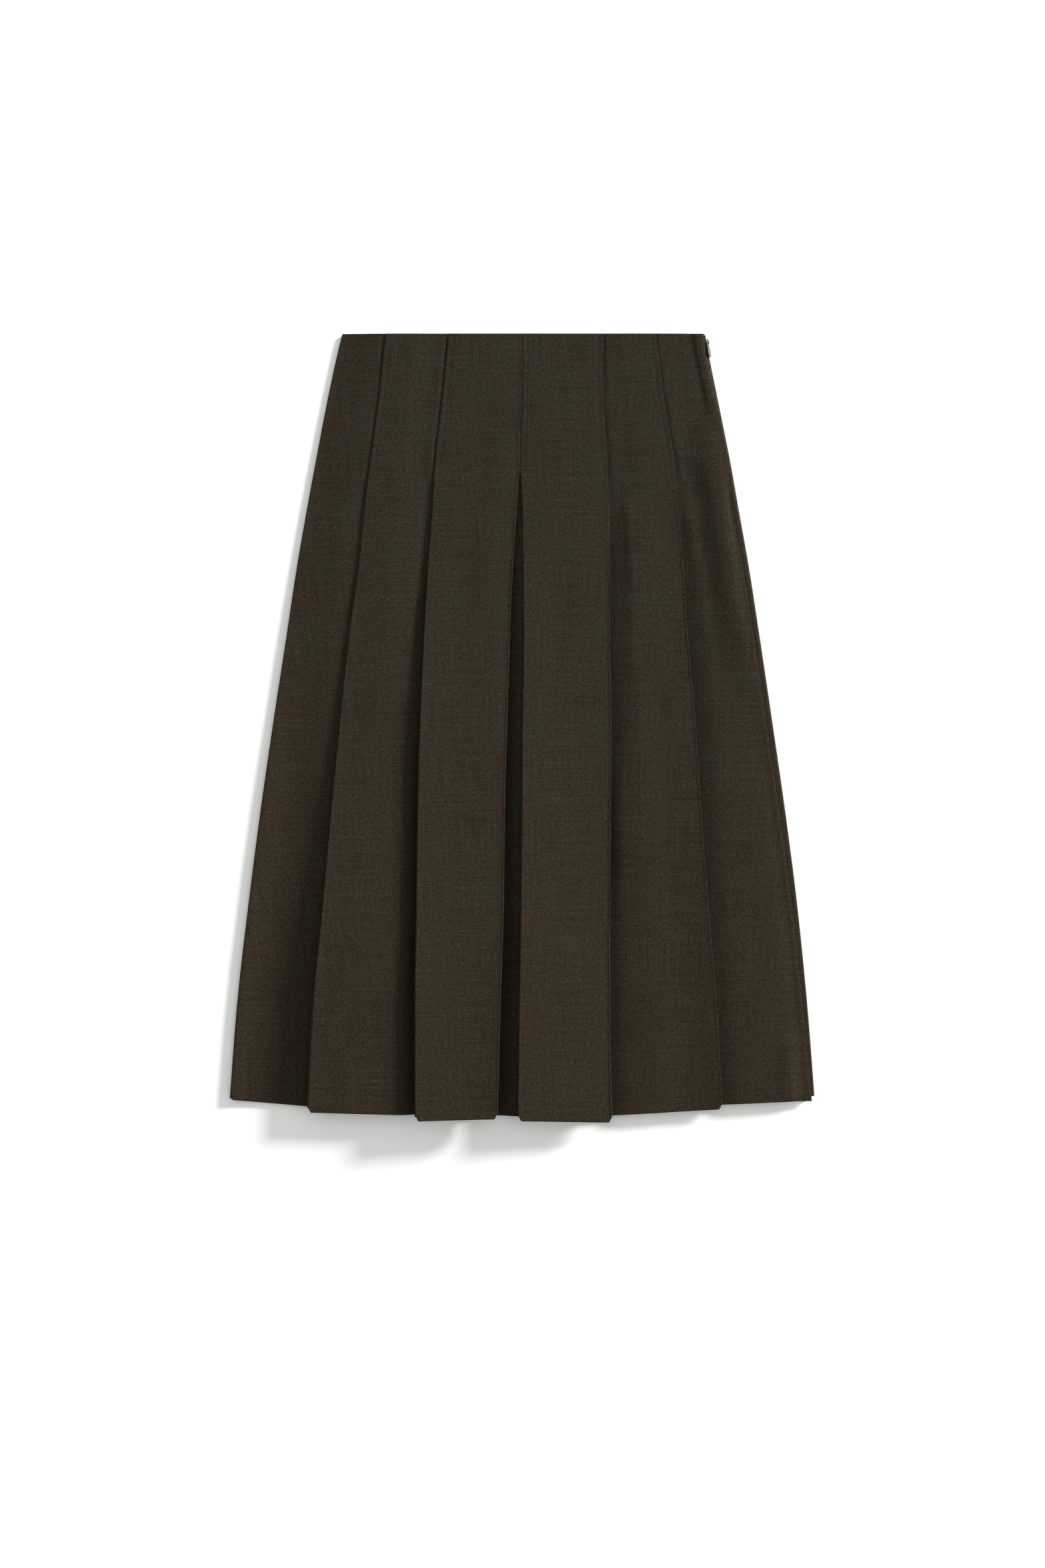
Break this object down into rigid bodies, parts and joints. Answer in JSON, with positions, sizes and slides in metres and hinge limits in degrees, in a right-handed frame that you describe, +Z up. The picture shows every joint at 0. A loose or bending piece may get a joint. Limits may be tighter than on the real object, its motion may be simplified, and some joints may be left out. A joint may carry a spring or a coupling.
{
  "type": "pleated midi skirt laid flat",
  "caption": "Woven midi skirt laid flat, with pressed knife pleats, a centre inverted pleat sewn down at the top, and a side zip.",
  "frame": {"origin": "centre of the laid skirt's box, on the surface that it rests on", "axes": "+X to the right as seen from above, +Y up the skirt from hem to waist, +Z up out of the front"},
  "size_m": [0.5724, 0.771, 0.0232],
  "materials": {
    "wool_cloth": "plain woven melange wool suiting, matt",
    "zip_tape": "woven polyester tape, matt",
    "zip_metal": "dull grey lacquer"
  },
  "bodies": {
    "skirt": {"front_panel": "wool_cloth", "back_panel": "wool_cloth", "zip_coil": "zip_tape", "zip_slider": "zip_metal"},
    "pull": {"zip_pull": "zip_metal"}
  },
  "joints": [
    {"name": "pull_swing", "type": "hinge", "parent": "skirt", "child": "pull", "pos_m": [0.18179, 0.37761, 0.00455], "axis": [-0.4919, -0.0909, 0.8659], "range_deg": [0, 150]}
  ]
}
